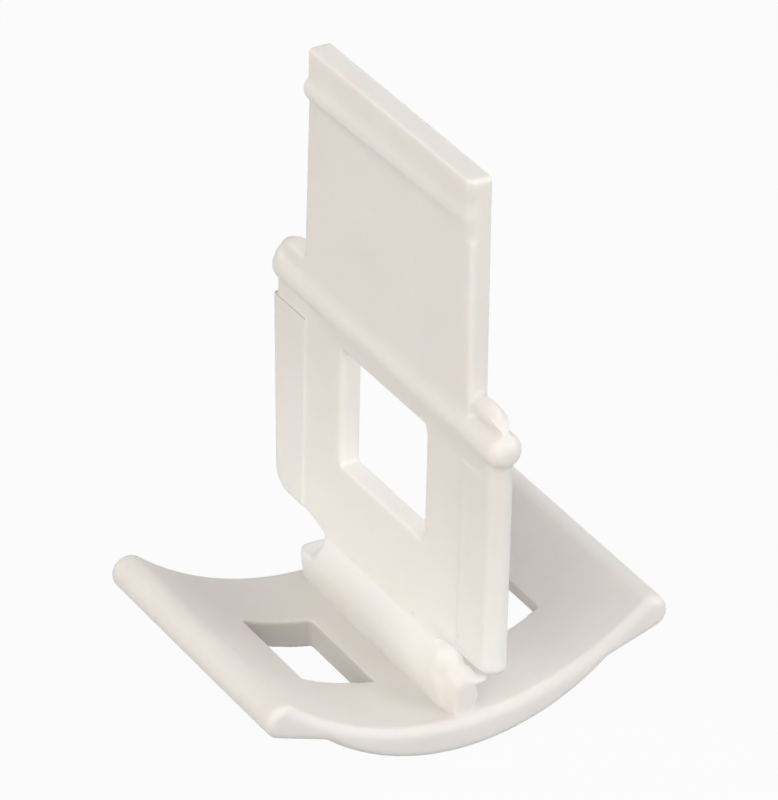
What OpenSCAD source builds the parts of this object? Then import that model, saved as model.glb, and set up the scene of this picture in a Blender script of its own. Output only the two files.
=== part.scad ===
// Tile levelling clip moulded in one piece.
// Millimetres. Plate in the YZ plane, base curved along X, Z up, underside at z = 0.
// The bead and the rim are on the front face of the plate, which looks along -X.

/* [Plate] */
// Thickness of the upright plate, the width of the joint it leaves
plate_t = 2; // [1.6:0.1:3]
// Overall height from the underside of the base to the top edge
overall_h = 55.7; // [50:0.1:64]
// Width of the grip panel at its top edge
grip_top_w = 27.4; // [22:0.2:28]
// Width of the grip panel where it meets the shoulders
grip_root_w = 28.1; // [24:0.1:32]
// Radius along the upright edges of the plate
edge_r = 0.4; // [0.3:0.05:0.75]
// Radius of the two top corners of the grip panel
top_corner_r = 0.45; // [0.3:0.05:1.5]

/* [Crossbar and shoulders] */
// Height of the crossbar axis
bar_z = 32.05; // [30:0.05:36]
// Radius of the crossbar
bar_r = 1.65; // [1.5:0.05:2.2]
// Length over the crossbar ends
bar_len = 38.7; // [37.7:0.1:44]
// Radius of the rounding at the crossbar ends
bar_end_r = 1.3; // [0.6:0.05:1.4]
// Width over the shoulders and over the plate under the crossbar
shoulder_w = 37.4; // [34:0.1:38]
// Rise of the shoulder tops above the crossbar axis
shoulder_rise = 2.9; // [2.4:0.1:5]
// Radius of the shoulder corners
shoulder_r = 1.9; // [0.8:0.1:2.2]

/* [Bead and rim] */
// Distance from the top edge down to the bead axis
bead_drop = 3.7; // [2:0.1:12]
// Radius of the bead on the front face
bead_r = 1.3; // [1:0.05:1.5]
// How far the bead stands out from the front face
bead_proud = 0.85; // [0.6:0.05:0.95]
// Radius of the rounding at the bead ends
bead_end_r = 0.9; // [0.4:0.05:0.95]
// How far the rim above the bead stands proud of the front face
rim_proud = 0.3; // [0.1:0.05:0.5]

/* [Wedge window] */
// Width of the window through the plate
window_w = 14.2; // [8:0.2:18]
// Height of the window
window_h = 11.6; // [7:0.1:14]
// Distance from the crossbar's underside down to the window
window_gap = 1.3; // [0.6:0.1:4]

/* [Ears] */
// Distance from the crossbar's underside down to the ear tops
ear_gap = 1.4; // [0.8:0.1:4]
// Width over the ears at their tops
ear_top_w = 38.3; // [37.6:0.1:39]
// Width over the ears at their undersides
ear_foot_w = 36.6; // [34:0.1:37]
// Radius of the lower ear corners
ear_r = 2.2; // [0.8:0.1:2.4]
// Distance from the middle to the step where each ear begins
ear_step = 13.4; // [12:0.1:15]
// How far the ear faces stand proud of the plate
ear_proud = 0.15; // [0.05:0.01:0.25]
// Height of the open notch under each ear
notch_h = 3.9; // [2.5:0.1:5]
// Length over which each ear's underside sinks to the neck
ease_len = 5; // [3:0.1:6]
// How far each ear's underside sinks to the neck
ease_drop = 0.95; // [0.4:0.05:1.5]

/* [Spine] */
// How far the spine swells out from each face of the plate
spine_proud = 0.65; // [0.3:0.05:0.8]
// Length of the spine along the plate
spine_len = 26.8; // [24.8:0.1:27.2]
// Length of the neck that joins spine and plate
neck_len = 18.8; // [16:0.1:20]
// Height from the fullest line of the spine up to where it has rounded in to the plate
narrow_h = 3.2; // [2.6:0.1:3.6]
// Radius of the rounding where the swell ends, above the low flats
nose_r = 1.1; // [0.6:0.1:1.4]
// Rise of the low flats at the spine ends above the base
flat_rise = 2.9; // [2:0.05:4]
// Length of each low flat
flat_len = 1.7; // [1:0.1:2.4]

/* [Base] */
// Length of the base over its two lips
base_len = 40; // [38:0.2:46]
// Width of the base along the plate
base_w = 28.6; // [27.2:0.1:34]
// Thickness of the base under the plate
base_t = 3.1; // [2.9:0.05:3.5]
// Radius of the round underside
under_r = 22; // [20.5:0.1:24]
// Depth of the narrow flat along the lowest line of the underside
sole_depth = 0.06; // [0.02:0.01:0.2]
// Radius of the top curve of the base
pan_r = 27.2; // [26.5:0.1:29]
// Radius of the rounding along the lower edges of the base and round the lips
end_r = 0.8; // [0.8:0.1:1.2]
// Height of the rounded band along the upper edges of the base
brow_h = 1.1; // [0.9:0.05:1.3]
// How far the crest of that band lies in from the end of the base
brow_in = 0.6; // [0.3:0.05:0.9]

/* [Lips] */
// Height of the lip axis
lip_z = 8.15; // [7.2:0.05:8.4]
// Radius of the lips
lip_r = 1.6; // [1.45:0.05:1.8]
// Upward slope of the flared ends, in degrees
lip_slope = 18.5; // [10:0.5:20]

/* [Base windows] */
// Distance from the middle to the inner edge of each base window
base_window_x = 4.6; // [3.6:0.1:5.6]
// Length of each base window across the plate, at its upper rim
base_window_l = 7; // [5:0.1:7.5]
// Width of each base window along the plate, at its upper rim
base_window_w = 11.2; // [8:0.1:14]
// Draft by which the windows widen towards the underside, in degrees
base_window_draft = 7; // [2:0.5:10]
// Lean of the outer window walls, which stand nearly square to the curve, in degrees
base_window_lean = 24; // [10:1:28]

/* [Hidden] */
$fn = 96;
// How far shapes that join run into each other
join = 0.5;
// How much wider than the spine the shapes that round it are drawn
crown = 0.15;
// How far the crest of the round slopes lies under the straight line
crest_drop = 0.02;
bar_under = bar_z - bar_r;
shoulder_z = bar_z + shoulder_rise;
bead_z = overall_h - bead_drop;
window_z = bar_under - window_gap - window_h;
flat_z = base_t + flat_rise;
ear_z = flat_z + notch_h;
ear_top_z = bar_under - ear_gap;
neck_z = ear_z - ease_drop;
neck_y = neck_len / 2;
ease_y = neck_y + ease_len;
ease_r = (ease_len * ease_len + ease_drop * ease_drop) / (2 * ease_drop);
spine_y = spine_len / 2;
spine_t = plate_t + 2 * spine_proud;
flat_y = spine_y - flat_len;
brow_r = (brow_h * brow_h + brow_in * brow_in) / (2 * brow_in);
under_z = under_r - sole_depth;
lip_x = base_len / 2 - lip_r;
// Distance from the axis of the underside to the flat underside of the flared end
flare_depth = lip_x * sin(lip_slope) + (under_z - lip_z) * cos(lip_slope) + lip_r;
// Length of the flared end from the lip axis to where it has run into the underside
flare_len = lip_x * cos(lip_slope) - (under_z - lip_z) * sin(lip_slope)
    - sqrt(under_r * under_r - flare_depth * flare_depth) + join;
// Height of the top curve of the base at a distance from the plate
function pan_z(x) = base_t + pan_r - sqrt(pan_r * pan_r - x * x);

// Rounded rectangle centred on the origin.
module rounded_rect(a, b, corner) {
    r = min(corner, 0.45 * min(a, b));
    square([a - 2 * r, b], center = true);
    square([a, b - 2 * r], center = true);
    for (i = [-1, 1], j = [-1, 1])
        translate([i * (a / 2 - r), j * (b / 2 - r)]) circle(r = r);
}

// Half section of a round body, its two outer corners rounded.
module rim_section(radius, width, corner) {
    intersection() {
        rounded_rect(2 * radius, width, corner);
        translate([0, -width]) square([2 * radius, 2 * width]);
    }
}

// Round body lying along Y.
module roller(radius, width, corner, turn = 360) {
    rotate([90, 0, 0]) rotate([0, 0, -90])
        rotate_extrude(angle = turn) rim_section(radius, width, corner);
}

// Outline drawn in Y and Z, given thickness along X, centred on the plate.
module sheet(t) {
    rotate([90, 0, 90]) translate([0, 0, -t / 2]) linear_extrude(height = t) children();
}

// Rounded bar standing along Z that leans outwards by an angle on the side s of the plate.
module leaning_edge(s, t, w, lean, h) {
    rotate([-s * lean, 0, 0]) translate([0, -s * w / 2, -w])
        linear_extrude(height = h + 2 * w) rounded_rect(t, w, edge_r);
}

// Roller with flared ends that cuts the top curve of the base and softens its ends.
module pan_cutter() {
    reach = base_w / 2 + brow_r;
    inner = base_w / 2 - brow_r;
    translate([0, 0, base_t + pan_r]) rotate([90, 0, 0]) rotate_extrude() difference() {
        translate([0, -reach]) square([pan_r + brow_h, 2 * reach]);
        intersection() {
            translate([pan_r, -reach]) square([brow_h + join, 2 * reach]);
            union() {
                translate([pan_r - join, -inner]) square([brow_h + 3 * join, 2 * inner]);
                for (j = [-1, 1])
                    translate([pan_r + brow_h, j * inner]) circle(r = brow_r);
            }
        }
    }
}

// Flared end of the base with its round lip, on the +X side.
module lip() {
    translate([lip_x, 0, lip_z]) rotate([0, -lip_slope, 0]) {
        translate([-flare_len, 0, 0]) rotate([90, 0, 90])
            linear_extrude(height = flare_len) rounded_rect(base_w, 2 * lip_r, end_r);
        roller(lip_r, base_w, end_r, 180);
    }
}

// Opening of the base window on the +X side, wider towards the underside.
module base_window() {
    out_x = base_window_x + base_window_l;
    half = base_window_w / 2;
    draft = tan(base_window_draft);
    lean = tan(base_window_lean);
    up = lip_z - pan_z(base_window_x);
    down = pan_z(base_window_x) + join;
    out_up = lip_z - pan_z(out_x);
    out_down = pan_z(out_x) + join;
    intersection() {
        rotate([90, 0, 0]) linear_extrude(height = base_w, center = true)
            polygon([[base_window_x - down * draft, -join], [out_x + out_down * lean, -join],
                [out_x - out_up * lean, lip_z], [base_window_x + up * draft, lip_z]]);
        rotate([90, 0, 90]) linear_extrude(height = base_len)
            polygon([[-half - down * draft, -join], [half + down * draft, -join],
                [half - up * draft, lip_z], [up * draft - half, lip_z]]);
    }
}

// Boat-shaped base with its two windows.
module base() {
    difference() {
        union() {
            intersection() {
                translate([0, 0, under_z]) roller(under_r, base_w, end_r);
                translate([-base_len / 2, -base_w, 0]) cube([base_len, 2 * base_w, lip_z]);
            }
            lip();
            mirror([1, 0, 0]) lip();
        }
        pan_cutter();
        base_window();
        mirror([1, 0, 0]) base_window();
    }
}

// Open notch under the ear on the +Y side, from the neck outwards.
module notch() {
    intersection() {
        translate([ease_y, ear_z - ease_r]) circle(r = ease_r);
        polygon([[neck_y, neck_z], [flat_y, flat_z], [ease_y, flat_z], [ease_y, ear_z],
            [neck_y, ear_z]]);
    }
    translate([ease_y, flat_z]) square([spine_len, notch_h]);
}

// Corners that come off the slope at the +Y end of the spine, to leave it a round top.
module slope_corners() {
    r = spine_t / 2 + crown;
    run = flat_y - neck_y;
    rise = neck_z - flat_z;
    translate([0, flat_y, flat_z]) rotate([atan2(run, rise), 0, 0])
        linear_extrude(height = norm([run, rise]) - join) difference() {
            translate([-spine_t, -r]) square([2 * spine_t, r + join]);
            translate([0, -r - crest_drop]) circle(r = r);
        }
}

// Spine between base and plate: swollen sides, low flats at its ends and round slopes to the neck.
module spine() {
    foot_z = base_t / 2;
    full_z = neck_z - narrow_h;
    side_r = (narrow_h * narrow_h + spine_proud * spine_proud) / (2 * spine_proud);
    difference() {
        union() {
            intersection() {
                rotate([90, 0, 0]) linear_extrude(height = spine_len, center = true) intersection() {
                    translate([-spine_t, foot_z]) square([2 * spine_t, neck_z - foot_z]);
                    translate([spine_t / 2 - side_r, full_z]) circle(r = side_r);
                    translate([side_r - spine_t / 2, full_z]) circle(r = side_r);
                }
                linear_extrude(height = ear_z) rounded_rect(spine_t + crown, 2 * flat_y, nose_r);
            }
            translate([0, 0, foot_z]) linear_extrude(height = ear_z + join - foot_z)
                rounded_rect(plate_t, spine_len, edge_r);
        }
        sheet(2 * spine_t) {
            notch();
            mirror([1, 0]) notch();
        }
        slope_corners();
        mirror([0, 1, 0]) slope_corners();
    }
}

// Plate between the ears, and the full-width strip under the crossbar.
module web() {
    y = ear_step + join;
    sheet(plate_t) translate([-y, ear_z]) square([2 * y, bar_z - ear_z]);
    translate([0, 0, ear_top_z - join]) linear_extrude(height = bar_z - ear_top_z + join)
        rounded_rect(plate_t, shoulder_w, edge_r);
}

// Proud ear on the +Y side with a rounded outer end and a round lower corner.
module ear() {
    t = plate_t + 2 * ear_proud;
    h = ear_top_z - ear_z;
    w = ear_top_w / 2 - ear_step + 2 * edge_r;
    lean = atan((ear_top_w - ear_foot_w) / 2 / h);
    corner_y = ear_foot_w / 2 - ear_r;
    difference() {
        intersection() {
            translate([0, ear_foot_w / 2, ear_z]) leaning_edge(1, t, w, lean, h);
            translate([-t, ear_step, ear_z]) cube([2 * t, ear_top_w, h]);
        }
        sheet(2 * t) difference() {
            translate([corner_y, ear_z - join]) square([2 * ear_r, ear_r + join]);
            translate([corner_y, ear_z + ear_r]) circle(r = ear_r);
        }
    }
}

// Square shoulders with rounded corners, standing on the crossbar.
module shoulders() {
    sheet(plate_t) intersection() {
        translate([0, bar_z]) rounded_rect(shoulder_w, 2 * shoulder_rise, shoulder_r);
        translate([-shoulder_w, bar_z]) square(2 * shoulder_w);
    }
}

// Grip panel that narrows towards the top, with a proud rim and a bead on its front face.
module grip() {
    h = overall_h - shoulder_z;
    w = grip_root_w / 2 + 2 * edge_r;
    lean = atan((grip_top_w - grip_root_w) / 2 / h);
    top = overall_h - top_corner_r;
    corner_y = grip_top_w / 2 - top_corner_r;
    rim_w = grip_top_w - 2 * edge_r;
    intersection() {
        union() {
            for (s = [-1, 1])
                translate([0, s * grip_root_w / 2, shoulder_z]) leaning_edge(s, plate_t, w, lean, h);
            translate([-plate_t / 2 - rim_proud, -rim_w / 2, bead_z])
                cube([plate_t / 2 + rim_proud, rim_w, bead_drop + join]);
        }
        sheet(4 * plate_t) {
            translate([-grip_root_w, bar_z]) square([2 * grip_root_w, top - bar_z]);
            translate([-corner_y, top - join]) square([2 * corner_y, top_corner_r + join]);
            for (s = [-1, 1])
                translate([s * corner_y, top]) circle(r = top_corner_r);
        }
    }
    translate([bead_r - bead_proud - plate_t / 2, 0, bead_z])
        mirror([1, 0, 0]) roller(bead_r, grip_top_w, bead_end_r, 180);
}

// The whole moulding.
module levelling_clip() {
    color([0.9, 0.87, 0.83]) {
        base();
        difference() {
            union() {
                spine();
                web();
                ear();
                mirror([0, 1, 0]) ear();
                shoulders();
                grip();
                translate([0, 0, bar_z]) roller(bar_r, bar_len, bar_end_r);
            }
            translate([0, 0, window_z + window_h / 2])
                cube([4 * plate_t, window_w, window_h], center = true);
        }
    }
}

levelling_clip();
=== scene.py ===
"""Tile levelling clip in off-white plastic: one soft-edged moulding on a pale studio floor."""

import math

import bmesh
import bpy
from mathutils import Matrix, Vector


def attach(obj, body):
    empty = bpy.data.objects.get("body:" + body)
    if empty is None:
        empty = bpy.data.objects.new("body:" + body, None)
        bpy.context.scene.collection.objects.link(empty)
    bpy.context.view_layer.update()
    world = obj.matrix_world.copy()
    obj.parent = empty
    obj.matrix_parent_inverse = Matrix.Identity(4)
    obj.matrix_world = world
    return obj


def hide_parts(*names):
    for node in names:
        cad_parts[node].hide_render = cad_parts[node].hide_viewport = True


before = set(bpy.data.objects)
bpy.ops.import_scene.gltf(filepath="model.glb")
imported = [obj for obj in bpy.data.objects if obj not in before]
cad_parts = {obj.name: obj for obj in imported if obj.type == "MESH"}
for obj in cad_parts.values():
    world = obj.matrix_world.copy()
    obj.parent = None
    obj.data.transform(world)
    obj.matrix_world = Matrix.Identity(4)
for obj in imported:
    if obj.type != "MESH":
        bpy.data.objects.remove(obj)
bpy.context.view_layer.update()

MM = 0.001
# Sizes of the moulding in millimetres, as the solid has them.
# Half sizes and ends count from the middle of the clip, heights from its underside.
PLATE_HALF = 1.0
GRIP_HALF = 14.05
BEAD_Z = 52.0
SHOULDER_TOP = 34.95
BAR_Z = 32.05
BAR_R = 1.65
WINDOW_TOP = 29.1
WINDOW_HALF = 7.1
EAR_STEP = 13.4
EAR_HALF = 1.15
EAR_TOP = 29.0
EAR_FOOT = 9.9
EAR_FOOT_END = 18.3
EAR_CORNER = 2.2
# How much further out an ear reaches at its top than at its foot
EAR_SPREAD = 0.85
# End of the strip between an ear and the crossbar
STRIP_END = 18.7
NECK_Y = 9.4
NECK_Z = 8.95
FLAT_Y = 11.7
FLAT_Z = 6.0
SPINE_HALF = 13.4
# Half thickness of the spine at its fullest, the height of that line, and the width of its curve
SPINE_FULL = 1.65
SPINE_FULL_Z = 5.75
SPINE_CURVE = 16.4
BASE_T = 3.1
BASE_WINDOW_OUT = 11.6

# Sizes of the finish in millimetres, which the solid does not have.
# Slope under the crossbar: how far it stands out, its height, its curve, and its run along the bar
SLOPE_OUT = 0.556
SLOPE_RISE = 2.4
SLOPE_CURVE = 1.52
SLOPE_NEAR = -17.6
SLOPE_FULL = 9.0
SLOPE_FAR = 12.5
# Front ear: where its round end starts to be drawn, its end, and its foot corner
FRONT_EAR_START = 14.6
FRONT_EAR_END = 18.85
FRONT_EAR_CORNER = 0.9
# Pill on the front shoulder: its middle, half length, half height, half thickness and least swell
PILL_Y = -16.0
PILL_Z = SHOULDER_TOP - 0.35
PILL_LONG = 2.9
PILL_HIGH = 1.05
PILL_THICK = 0.9
PILL_LEAST = 0.12
# Corner radius at the far end of the spine, and the side where the tongue of flash lies
SPINE_CORNER = 1.2
TONGUE_X = 1.3
# Back lip: where it starts to be shorter, where it is fully so, and by what share
LIP_X = 3.0
LIP_FULL_X = 10.0
LIP_Y = 11.0
LIP_CUT = 0.4
# Window in the back half of the base: what moves with its outer edge, how far, on what curve
OUTER_EDGE_FROM = 9.0
OUTER_EDGE_TO = 14.5
OUTER_EDGE_HALF = 6.6
OUTER_EDGE_MOVE = 0.55
OUTER_EDGE_CURVE = 26.0
# Share of the bead that sinks into the grip panel at its front end
BEAD_SINK = 0.65
# Grain of the remeshed skin, and the share of its faces that stays
SKIN_GRAIN = 0.15
SKIN_SHARE = 0.31

# Colours: two tones of the plastic, a lighter tone for painted light on the spine and lower plate, a
# dark tone for specks and a painted shadow line, floor and white
DIM_TONE = (0.775, 0.73, 0.685, 1.0)
CLEAR_TONE = (0.81, 0.77, 0.73, 1.0)
PAINTED_LIGHT_TONE = (0.93, 0.9, 0.865, 1.0)
SPECK_AND_SHADE_COLOUR = (0.3, 0.26, 0.24, 1.0)
FLOOR_GREY = (0.42, 0.42, 0.42, 1.0)
WHITE = (1.0, 1.0, 1.0, 1.0)
# Colours of the lamps
WARM = (1.0, 0.96, 0.9)
PLAIN = (1.0, 1.0, 1.0)
COOL = (0.97, 1.0, 1.02)
# Places of two faint specks on the front face, in millimetres
SPECKS = ((-1.0, -5.9, 9.5), (-1.15, -13.7, 11.5))

# Middle of the clip, where the lamps and the camera look, in metres
AIM = Vector((0.0, 0.0, 0.02743))
LAMP_SIZE = 0.52
LAMP_AWAY = 0.9
FLOOR_HALF = 2.0
# Longer side of the picture in pixels
PICTURE_SIDE = 800


class Wire:
    """An output in a node tree. Arithmetic and comparisons on wires add Math nodes."""

    def __init__(self, tree, socket=None):
        self.tree = tree
        self.socket = socket

    def node(self, kind, settings=None, inputs=None, out=0):
        """Adds a node: its settings first, then the values or wires of its sockets."""
        node = self.tree.nodes.new(kind)
        for key, value in (settings or {}).items():
            if key == "stops":
                ramp = node.color_ramp.elements
                while len(ramp) < len(value):
                    ramp.new(0.5)
                for stop, (place, shade) in zip(ramp, value):
                    stop.position = place
                    stop.color = shade
            else:
                setattr(node, key, value)
        for key, value in (inputs or {}).items():
            if isinstance(value, Wire):
                self.tree.links.new(value.socket, node.inputs[key])
            else:
                node.inputs[key].default_value = value
        return Wire(self.tree, node.outputs[out] if node.outputs else None)

    def maths(self, operation, *values):
        return self.node("ShaderNodeMath", {"operation": operation}, dict(enumerate(values)))

    def __add__(self, other):
        return self.maths("ADD", self, other)

    __radd__ = __add__

    def __sub__(self, other):
        return self.maths("SUBTRACT", self, other)

    def __rsub__(self, other):
        return self.maths("SUBTRACT", other, self)

    def __mul__(self, other):
        return self.maths("MULTIPLY", self, other)

    __rmul__ = __mul__

    def __lt__(self, other):
        return self.maths("LESS_THAN", self, other)

    def __gt__(self, other):
        return self.maths("GREATER_THAN", self, other)

    def __abs__(self):
        return self.maths("ABSOLUTE", self)


def fade(value, start, end, low, high):
    """Goes from low to high while the value goes from start to end, in millimetres."""
    return value.node("ShaderNodeMapRange", None, {
        "Value": value, "From Min": start * MM, "From Max": end * MM, "To Min": low, "To Max": high})


def mottle(place, scale, detail, roughness):
    """Soft noise through the plastic."""
    return place.node("ShaderNodeTexNoise", None, {
        "Vector": place, "Scale": scale, "Detail": detail, "Roughness": roughness})


def blend(factor, first, second):
    """The first colour, turned towards the second by the factor."""
    return factor.node("ShaderNodeMix", {"data_type": "RGBA"},
                       {0: factor, 6: first, 7: second}, out=2)


def new_material(name):
    """A bare material and the wire its nodes are added with."""
    material = bpy.data.materials.new(name)
    material.use_nodes = True
    material.node_tree.nodes.clear()
    return material, Wire(material.node_tree)


def natural_plastic():
    """Off-white plastic: satin, a little cloudy, with painted light on the spine and the lower plate,
    specks, a painted shadow line at an ear, and a fine moulded grain.
    """
    material, tree = new_material("natural_plastic")
    place = tree.node("ShaderNodeTexCoord", out="Object")
    across = tree.node("ShaderNodeSeparateXYZ", None, {"Vector": place}, out="X")
    along = tree.node("ShaderNodeSeparateXYZ", None, {"Vector": place}, out="Y")
    height = tree.node("ShaderNodeSeparateXYZ", None, {"Vector": place}, out="Z")
    cloud = mottle(place, 130.0, 3.0, 0.55)
    patch = mottle(place, 420.0, 2.0, 0.5)
    grain = mottle(place, 3200.0, 2.0, 0.6)
    tone = tree.node("ShaderNodeValToRGB", {"stops": [(0.3, DIM_TONE), (0.7, CLEAR_TONE)]},
                     {"Fac": cloud * 0.7 + patch * 0.3})
    # Painted light: the spine and the lower plate turn towards a lighter tone, more of it lower down,
    # less of it at the front nose and at the foot
    nose = tree.maths("MINIMUM", fade(along, -SPINE_HALF, 2.0 - NECK_Y, 0.9, 0.0),
                      fade(height, NECK_Z - 0.5, NECK_Z + 2.0, 1.0, 0.0))
    painted_light = (fade(height, WINDOW_TOP - 2.0, NECK_Z - 1.5, 0.0, 1.0)
             * fade(height, BASE_T + 0.2, FLAT_Z, 0.3, 1.0) * (1.0 - nose)
             * (height > (BASE_T + 0.3) * MM) * (abs(across) < 1.9 * MM))
    # Painted shadow line at the step at the top of the back ear, and the specks
    ear_shadow_line = tree.maths("COMPARE", height, EAR_TOP * MM, 0.07 * MM)
    specks_and_shade = 0.5 * ear_shadow_line * (along > EAR_STEP * MM)
    for speck in SPECKS:
        away = tree.node("ShaderNodeVectorMath", {"operation": "DISTANCE"},
                         {0: place, 1: Vector(speck) * MM}, out="Value")
        specks_and_shade = specks_and_shade + 0.12 * (away < (0.1 + 0.16 * patch) * MM)
    dents = tree.node("ShaderNodeBump", None, {
        "Strength": 0.12, "Distance": 0.06 * MM, "Height": grain * 0.6 + patch * 0.8})
    # Base colour: painted light on the spine and lower plate, then the specks and the painted shadow
    # line in the dark tone
    skin = tree.node("ShaderNodeBsdfPrincipled", None, {
        "Base Color": blend(specks_and_shade, blend(painted_light, tone, PAINTED_LIGHT_TONE), SPECK_AND_SHADE_COLOUR),
        "Roughness": 0.4 + 0.16 * patch, "Normal": dents,
        "IOR": 1.49, "Specular IOR Level": 0.4,
        "Subsurface Weight": 0.6, "Subsurface Radius": (1.0, 0.8, 0.6),
        "Subsurface Scale": 1.2 * MM})
    tree.node("ShaderNodeOutputMaterial", None, {"Surface": skin})
    return material


def seen_white(tree):
    """One where the camera, a reflection or a view through something looks, else nothing."""
    return (tree.node("ShaderNodeLightPath", out="Is Camera Ray")
            + tree.node("ShaderNodeLightPath", out="Is Glossy Ray")
            + tree.node("ShaderNodeLightPath", out="Is Transmission Ray"))


def studio_floor():
    """Pale floor that the camera sees as white, with a faint shadow of the clip."""
    material, tree = new_material("studio_floor")
    matt = tree.node("ShaderNodeBsdfDiffuse", None, {"Color": FLOOR_GREY})
    white = tree.node("ShaderNodeEmission", None, {"Color": WHITE, "Strength": 1.0})
    mixed = tree.node("ShaderNodeMixShader", None, {
        "Fac": 0.95 * seen_white(tree), 1: matt, 2: white})
    tree.node("ShaderNodeOutputMaterial", None, {"Surface": mixed})
    return material


def merged_copy(node):
    """The solid's triangles joined into one closed skin."""
    bm = bmesh.new()
    bm.from_mesh(node.data)
    bmesh.ops.remove_doubles(bm, verts=bm.verts, dist=0.001 * MM)
    return bm


def add_lump(bm, place, size):
    """A rounded lump of plastic, half sunk into the moulding. Millimetres."""
    spot = Matrix.Translation(Vector(place) * MM) @ Matrix.Diagonal(Vector(size).to_4d())
    bmesh.ops.create_uvsphere(bm, u_segments=32, v_segments=24, radius=MM, matrix=spot)


def add_front_end(bm):
    """The full round nose at the front end of the spine, with its tongue of flash."""
    add_lump(bm, (0.1, -NECK_Y - 2.1, FLAT_Z - 1.3), (1.35, 2.0, 2.7))
    add_lump(bm, (-0.3, -NECK_Y - 0.9, FLAT_Z + 1.0), (1.3, 1.65, 1.95))
    add_lump(bm, (0.2, -FLAT_Y - 0.3, FLAT_Z - 0.1), (1.35, 1.4, 1.25))
    add_lump(bm, (0.7, -FLAT_Y - 0.6, FLAT_Z - 1.6), (0.95, 1.15, 1.6))
    add_lump(bm, (TONGUE_X - 0.2, -FLAT_Y - 0.6, FLAT_Z - 0.05), (0.45, 1.2, 0.25))
    add_lump(bm, (TONGUE_X + 0.1, -FLAT_Y - 1.2, FLAT_Z - 0.1), (1.0, 0.6, 0.3))


def add_shoulders(bm):
    """The back shoulder runs round into the end of the crossbar, the front one is a fuller pill."""
    add_lump(bm, (0.0, GRIP_HALF + 3.15, BAR_Z + 0.85), (1.1, 2.1, 2.1))
    add_lump(bm, (-0.35, GRIP_HALF + 3.85, BAR_Z + 0.75), (1.15, 1.25, 1.3))
    add_lump(bm, (0.0, -GRIP_HALF - 1.6, PILL_Z), (0.85, 2.3, 1.1))


def applied(piece):
    """The piece with the result of its modifiers as its own mesh."""
    deps = bpy.context.evaluated_depsgraph_get()
    piece.data = bpy.data.meshes.new_from_object(piece.evaluated_get(deps))
    piece.modifiers.clear()
    return piece


def even_skin(bm, name):
    """The skin remade in small even faces, so that its edges can be softened."""
    mesh = bpy.data.meshes.new(name)
    bm.to_mesh(mesh)
    bm.free()
    piece = bpy.data.objects.new(name, mesh)
    bpy.context.scene.collection.objects.link(piece)
    remesh = piece.modifiers.new("even_skin", "REMESH")
    remesh.mode = "VOXEL"
    remesh.voxel_size = SKIN_GRAIN * MM
    remesh.adaptivity = 0.0
    return applied(piece)


def soften(bm, passes, near):
    """Rounds edges and fills creases where near() holds, in millimetres."""
    verts = [v for v in bm.verts if near(*(v.co / MM))]
    for _ in range(passes):
        bmesh.ops.smooth_vert(bm, verts=verts, factor=0.5,
                              use_axis_x=True, use_axis_y=True, use_axis_z=True)


def reshape(bm, near, move):
    """Takes the points where near() holds to the place that move() gives, in millimetres."""
    for v in bm.verts:
        place = v.co / MM
        if near(*place):
            v.co = Vector(move(*place)) * MM


def share(value, start, end):
    """How far a value is from start to end, from nothing to one."""
    return min(max((value - start) / (end - start), 0.0), 1.0)


# Parts of the skin that are reshaped, each with the move that shapes it

def bar_underside(x, y, z):
    return abs(x) > 0.9 and 0.0 < z - WINDOW_TOP < SLOPE_RISE and SLOPE_NEAR < y < SLOPE_FAR


def bar_slope(x, y, z):
    """The crossbar's underside runs down to the top of the window in one soft slope."""
    rise = share(z, WINDOW_TOP, WINDOW_TOP + SLOPE_RISE) ** SLOPE_CURVE
    out = SLOPE_OUT * share(y, SLOPE_FAR, SLOPE_FULL) * rise
    return math.copysign(max(abs(x), PLATE_HALF + out), x), y, z


def front_ear(x, y, z):
    return y < -FRONT_EAR_START and EAR_FOOT - 1.2 < z < BAR_Z - 1.4


def cut_corner(z, radius):
    """What a rounded foot corner takes off the length of an ear at a height."""
    low = max(EAR_FOOT + radius - z, 0.0)
    return radius - math.sqrt(max(radius ** 2 - low ** 2, 0.0))


def round_ear(x, y, z):
    """The front ear is drawn to one length and ends in a full round, with a tighter foot corner."""
    end = STRIP_END
    if z < EAR_TOP + 0.05:
        end = EAR_FOOT_END + EAR_SPREAD * share(z, EAR_FOOT, EAR_TOP)
    end -= cut_corner(z, EAR_CORNER)
    tip = FRONT_EAR_END - cut_corner(z, FRONT_EAR_CORNER)
    start = FRONT_EAR_START
    away = start + (-y - start) * (tip - start) / (end - start)
    along = share(away, tip - EAR_HALF, tip)
    if along > 0.0:
        aside = min(abs(x) / EAR_HALF, 1.0)
        away = tip - EAR_HALF + EAR_HALF * along * math.sqrt(1.0 - 0.5 * aside ** 2)
    return x * math.sqrt(1.0 - 0.5 * along ** 2), -away, z


def spine_far_end(x, y, z):
    return abs(x) > 0.8 and NECK_Y - 0.6 < y < SPINE_HALF + 0.05 and BASE_T < z < FLAT_Z + 0.05


def full_end(x, y, z):
    """The far end of the spine stays as full as its middle, up to a round corner."""
    turn = max(y - SPINE_HALF + SPINE_CORNER, 0.0)
    corner = SPINE_CORNER - math.sqrt(max(SPINE_CORNER ** 2 - turn ** 2, 0.0))
    side = SPINE_FULL - (z - SPINE_FULL_Z) ** 2 / SPINE_CURVE - corner
    return math.copysign(max(abs(x), side), x), y, z


def back_lip_end(x, y, z):
    return x > LIP_X and y > LIP_Y


def shorter_lip(x, y, z):
    """The far end of the back lip stops short, hidden behind the plate."""
    return x, LIP_Y + (y - LIP_Y) * (1.0 - LIP_CUT * share(x, LIP_X, LIP_FULL_X)), z


def back_window(x, y, z):
    return OUTER_EDGE_FROM < x < OUTER_EDGE_TO and abs(y) < OUTER_EDGE_HALF and z < 9.0


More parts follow.
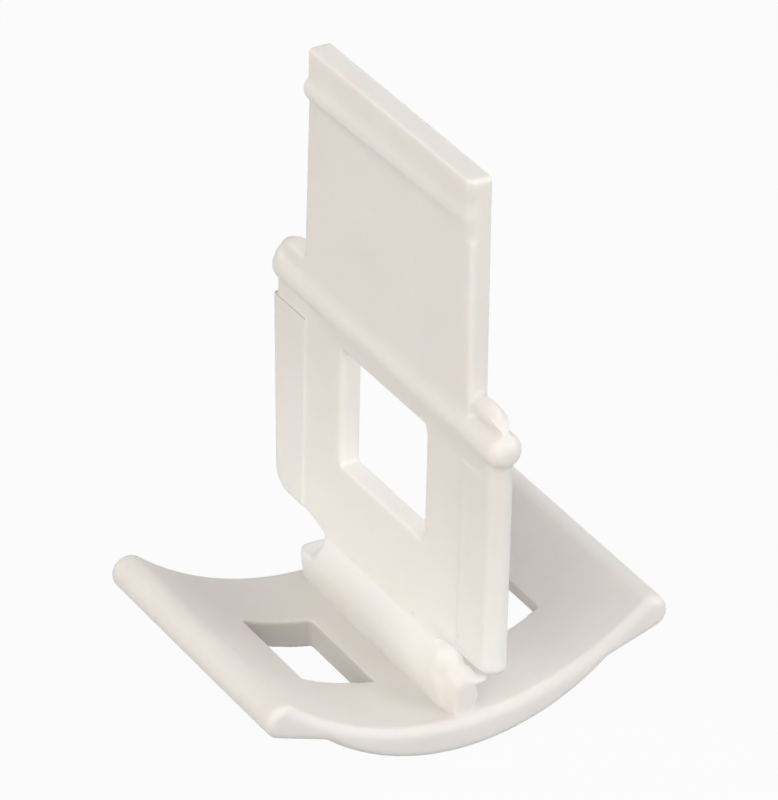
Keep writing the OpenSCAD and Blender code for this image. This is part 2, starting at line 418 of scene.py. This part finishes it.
def longer_window(x, y, z):
    """The window in the back half of the base reaches a little further out."""
    inside = share(x, OUTER_EDGE_FROM, BASE_WINDOW_OUT)
    outside = share(x, OUTER_EDGE_TO, BASE_WINDOW_OUT)
    beside = share(abs(y), OUTER_EDGE_HALF, OUTER_EDGE_HALF - 0.6)
    out = OUTER_EDGE_MOVE * min(inside, outside) * beside
    return x + out, y, z + out * x / OUTER_EDGE_CURVE


def front_shoulder(x, y, z):
    return y < -GRIP_HALF - 0.1 and z > BAR_Z + 1.3


def pill_shoulder(x, y, z):
    """The front shoulder is a flat pill, with a crease between it and the crossbar."""
    swell = 1.0 - ((y - PILL_Y) / PILL_LONG) ** 2 - ((z - PILL_Z) / PILL_HIGH) ** 2
    pill = PILL_THICK * math.sqrt(max(swell, PILL_LEAST))
    bar = math.sqrt(max(BAR_R ** 2 - (z - BAR_Z) ** 2, 0.0))
    return math.copysign(min(abs(x), max(bar, pill)), x), y, z


def bead_strip(x, y, z):
    return x < -PLATE_HALF and z > BEAD_Z - 2.6


def fading_bead(x, y, z):
    """The bead sinks into the grip panel towards the front end."""
    sunk = BEAD_SINK * share(y, SPINE_HALF, -SPINE_HALF) * share(z, BEAD_Z + 3.0, BEAD_Z + 1.0)
    return -PLATE_HALF + (x + PLATE_HALF) * (1.0 - sunk), y, z


# Parts of the skin that are softened: small numbers are reaches past the sizes beside them

def over_bar(x, y, z):
    return 0.6 < z - BAR_Z < 2.4 and abs(y) < GRIP_HALF - 0.4


def under_bar(x, y, z):
    reach = BAR_Z - WINDOW_TOP - 0.35 if abs(y) < WINDOW_HALF + 0.4 else 2.9
    return 0.5 < BAR_Z - z < reach and -SPINE_HALF - 3.0 < y < SPINE_HALF - 0.8


def back_shoulder(x, y, z):
    return y > GRIP_HALF - 0.5 and BAR_Z + 1.4 < z < SHOULDER_TOP + 0.8


def ear_end(x, y, z):
    return y < -FRONT_EAR_END + 2.8 and EAR_FOOT + 0.8 < z < BAR_Z - 1.0


def window_sides(x, y, z):
    beside = abs(abs(y) - WINDOW_HALF) < 0.8
    return x < 0.4 and beside and WINDOW_TOP - 11.4 < z < WINDOW_TOP - 0.4


def front_nose(x, y, z):
    low_end = BASE_T + 0.6 < z < NECK_Z + 0.1
    return x < 1.0 and -SPINE_HALF - 0.2 < y < 0.8 - NECK_Y and low_end


def along_foot(x, y, z):
    return abs(x) < 2.6 and abs(y) < SPINE_HALF + 0.1 and z < BASE_T + 1.0


def bead_creases(x, y, z):
    beside = 0.45 < abs(z - BEAD_Z) < 2.4 or y < 1.6 - SPINE_HALF
    return x < -0.5 and y < SPINE_HALF - 1.0 and beside and abs(z - BEAD_Z) < 2.4


def all_but_ear_tops(x, y, z):
    return abs(y) <= EAR_STEP - 0.6 or abs(z - WINDOW_TOP) >= 0.4


def levelling_clip():
    """The whole moulding, with soft edges and blended joints."""
    solid = merged_copy(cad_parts["levelling_clip"])
    add_front_end(solid)
    add_shoulders(solid)
    piece = even_skin(solid, "clip_moulding")
    bm = bmesh.new()
    bm.from_mesh(piece.data)
    reshape(bm, bar_underside, bar_slope)
    reshape(bm, front_ear, round_ear)
    reshape(bm, front_shoulder, pill_shoulder)
    reshape(bm, bead_strip, fading_bead)
    reshape(bm, spine_far_end, full_end)
    reshape(bm, back_lip_end, shorter_lip)
    reshape(bm, back_window, longer_window)
    soften(bm, 90, over_bar)
    soften(bm, 40, under_bar)
    soften(bm, 14, back_shoulder)
    soften(bm, 20, ear_end)
    soften(bm, 26, window_sides)
    soften(bm, 25, front_nose)
    soften(bm, 5, along_foot)
    soften(bm, 120, bead_creases)
    soften(bm, 3, all_but_ear_tops)
    for face in bm.faces:
        face.smooth = True
    bm.to_mesh(piece.data)
    bm.free()
    thin = piece.modifiers.new("fewer_faces", "DECIMATE")
    thin.ratio = SKIN_SHARE
    applied(piece)
    piece.data.materials.clear()
    piece.data.materials.append(natural_plastic())
    return piece


def floor_sheet():
    bm = bmesh.new()
    bmesh.ops.create_grid(bm, x_segments=1, y_segments=1, size=FLOOR_HALF)
    mesh = bpy.data.meshes.new("floor")
    bm.to_mesh(mesh)
    bm.free()
    mesh.materials.append(studio_floor())
    sheet = bpy.data.objects.new("floor", mesh)
    bpy.context.scene.collection.objects.link(sheet)
    return sheet


def softbox(name, azimuth, elevation, watts, colour, size=LAMP_SIZE):
    """Square lamp round the clip that looks at its middle. Angles in degrees from +X."""
    lamp = bpy.data.lights.new(name, "AREA")
    lamp.shape = "SQUARE"
    lamp.size = size
    lamp.energy = watts
    lamp.color = colour
    box = bpy.data.objects.new(name, lamp)
    turn = math.radians(azimuth)
    rise = math.radians(elevation)
    away = Vector((math.cos(rise) * math.cos(turn), math.cos(rise) * math.sin(turn), math.sin(rise)))
    box.location = AIM + LAMP_AWAY * away
    box.rotation_euler = away.to_track_quat("Z", "Y").to_euler()
    box.visible_camera = False
    bpy.context.scene.collection.objects.link(box)


def studio_light():
    """Ring of low and middle lamps, one overhead, and a world that only the camera sees white."""
    softbox("left_low", 180, 17, 2.1, WARM)
    softbox("front_low", -135, 17, 3.1, PLAIN)
    softbox("right_low", -45, 17, 4.5, COOL)
    softbox("left_mid", 180, 36, 0.9, WARM)
    softbox("front_mid", -145, 36, 1.2, PLAIN)
    softbox("right_mid", 0, 42, 0.8, COOL)
    softbox("back_right", 45, 42, 0.8, COOL)
    softbox("top_box", 0, 90, 3.4, COOL, size=0.96)
    world = bpy.data.worlds.new("studio")
    world.use_nodes = True
    world.node_tree.nodes.clear()
    tree = Wire(world.node_tree)
    sky = tree.node("ShaderNodeBackground", None, {
        "Color": WHITE, "Strength": 0.05 + 0.95 * seen_white(tree)})
    tree.node("ShaderNodeOutputWorld", None, {"Surface": sky})
    bpy.context.scene.world = world


def photo_camera():
    """Long lens from the front left, a little above the clip."""
    turn = math.radians(-30.86)
    rise = math.radians(30.53)
    roll = math.radians(1.38)
    distance = 0.59756
    back = Vector((math.sin(turn) * math.cos(rise), -math.cos(turn) * math.cos(rise), math.sin(rise)))
    right = Vector((math.cos(turn), math.sin(turn), 0.0))
    up = back.cross(right)
    level = Matrix((right, up, back)).transposed()
    lens = bpy.data.cameras.new("photo_camera")
    lens.lens = 313.2
    lens.shift_x = -4.04 / PICTURE_SIDE
    lens.shift_y = 1.0 / PICTURE_SIDE
    lens.clip_start = 0.01
    camera = bpy.data.objects.new("photo_camera", lens)
    camera.matrix_world = (Matrix.Translation(AIM + distance * back)
                           @ (level @ Matrix.Rotation(roll, 3, "Z")).to_4x4())
    bpy.context.scene.collection.objects.link(camera)
    bpy.context.scene.camera = camera


clip = levelling_clip()
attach(clip, "root")
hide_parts("levelling_clip")
floor_sheet()
studio_light()
photo_camera()
bpy.context.scene.view_settings.view_transform = "Standard"
